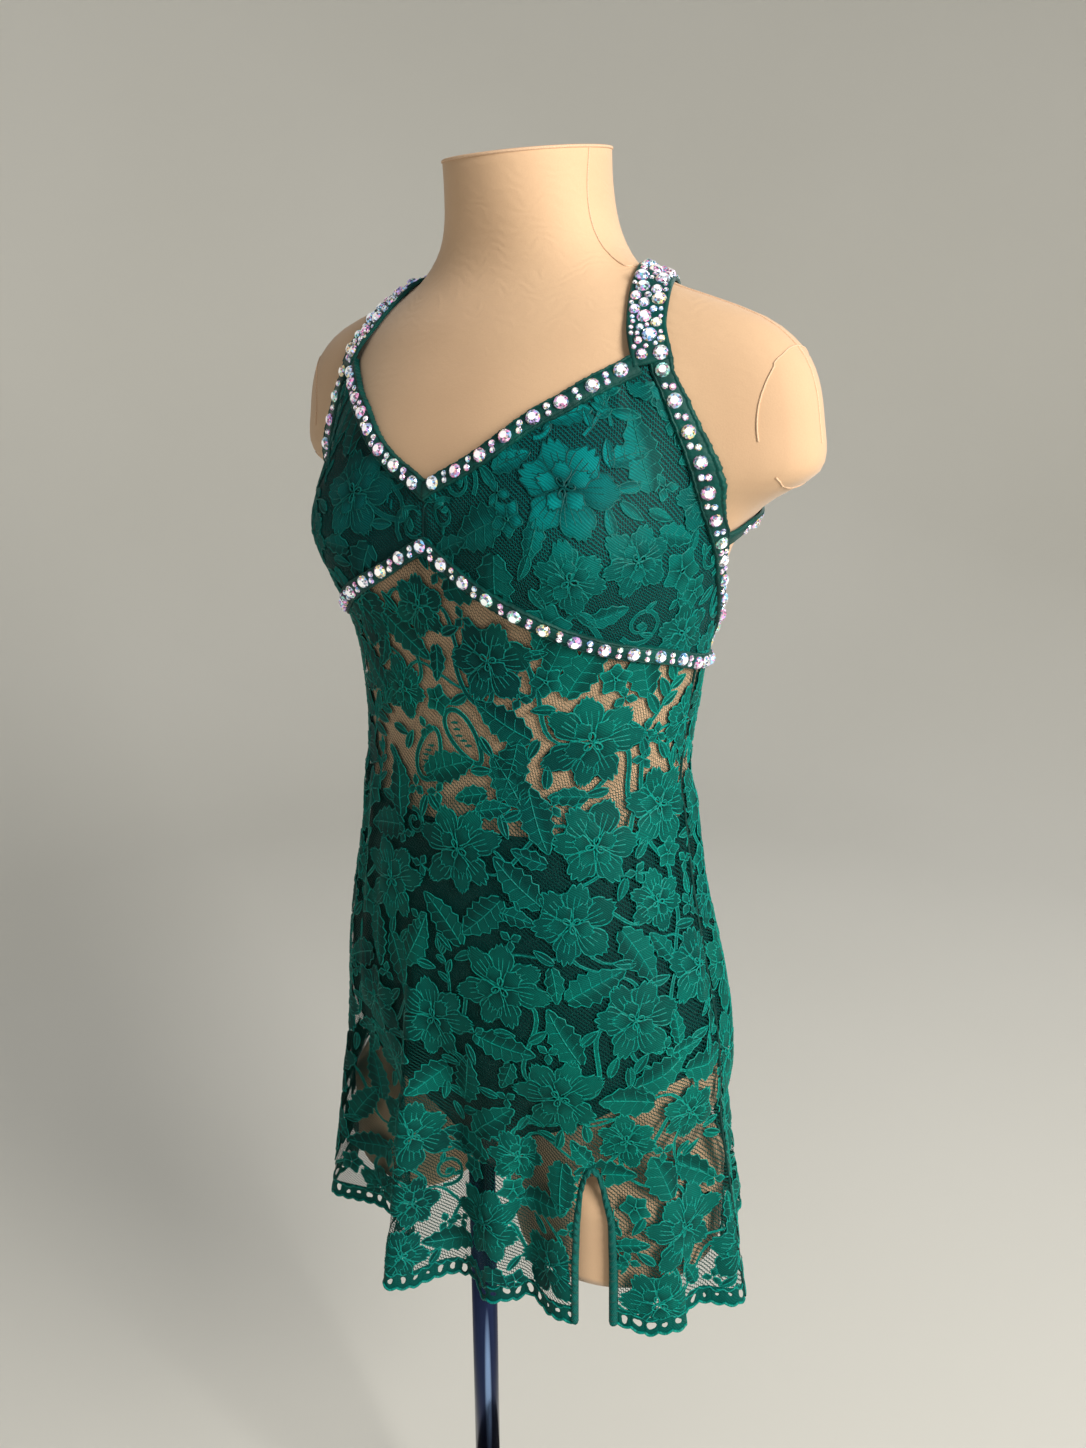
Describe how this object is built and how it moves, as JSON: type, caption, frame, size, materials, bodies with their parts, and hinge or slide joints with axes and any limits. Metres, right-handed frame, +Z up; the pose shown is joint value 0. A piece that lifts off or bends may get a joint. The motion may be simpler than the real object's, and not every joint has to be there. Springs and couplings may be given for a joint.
{
  "type": "slip dress on a dress form",
  "caption": "Short emerald lace slip dress with crystal-set bindings and crossed back straps, on a limbless stuffed dress form with a pole and round base.",
  "frame": {"origin": "on the floor at the centre of the round base plate, which is also the bottom centre of the bounding box", "axes": "+Z up along the form, -Y the front of the dress, +X the wearer's left"},
  "size_m": [0.41, 0.41, 1.3124],
  "materials": {
    "form_cloth": "matte",
    "steel": "polished",
    "base_enamel": "satin",
    "lace": "matte",
    "lined_lace": "matte",
    "binding_cloth": "satin",
    "brief_cloth": "matte"
  },
  "bodies": {
    "root": {"form_torso": "form_cloth", "stand_pole": "steel", "base_plate": "base_enamel", "cup_left": "lined_lace", "cup_right": "lined_lace", "wing_left": "lined_lace", "wing_right": "lined_lace", "skirt_front": "lace", "skirt_back": "lace", "slit_binding": "binding_cloth", "neck_binding_left": "binding_cloth", "neck_binding_right": "binding_cloth", "arm_binding_left": "binding_cloth", "arm_binding_right": "binding_cloth", "band_front": "binding_cloth", "band_back": "binding_cloth", "strap_left": "binding_cloth", "strap_right": "binding_cloth", "brief_front": "brief_cloth", "brief_back": "brief_cloth", "brief_gusset": "brief_cloth"}
  },
  "joints": []
}
